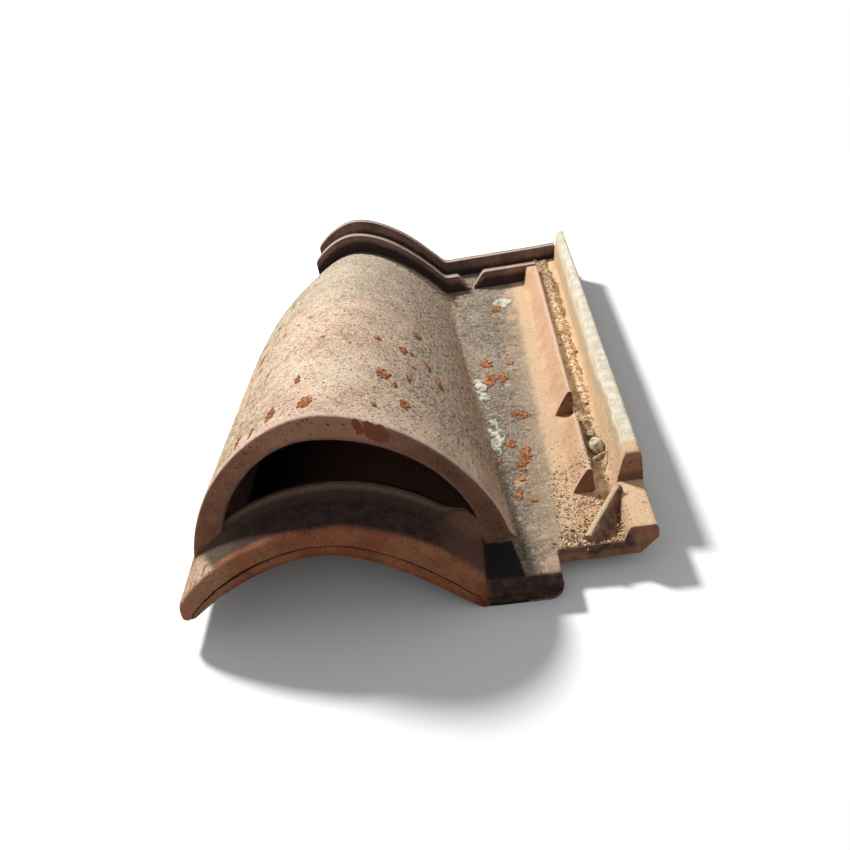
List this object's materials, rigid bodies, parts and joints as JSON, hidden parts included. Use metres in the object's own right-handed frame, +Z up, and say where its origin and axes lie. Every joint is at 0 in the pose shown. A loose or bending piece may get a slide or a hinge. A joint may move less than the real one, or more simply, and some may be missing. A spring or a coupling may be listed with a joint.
{
  "type": "ventilation roof tile",
  "caption": "Clay interlocking roof tile with an arched roll, a raised ventilation hood with a crescent mouth, a flat pan and a ribbed side lock.",
  "frame": {"origin": "centre of the bounding box's base, on the floor the tile lies on", "axes": "+X from the roll's free edge to the side lock, +Y from the nose to the head, +Z up"},
  "size_m": [0.264, 0.406, 0.1143],
  "materials": {
    "fired_clay": "matt weathered fired clay"
  },
  "bodies": {
    "root": {"roof_tile": "fired_clay"}
  },
  "joints": []
}
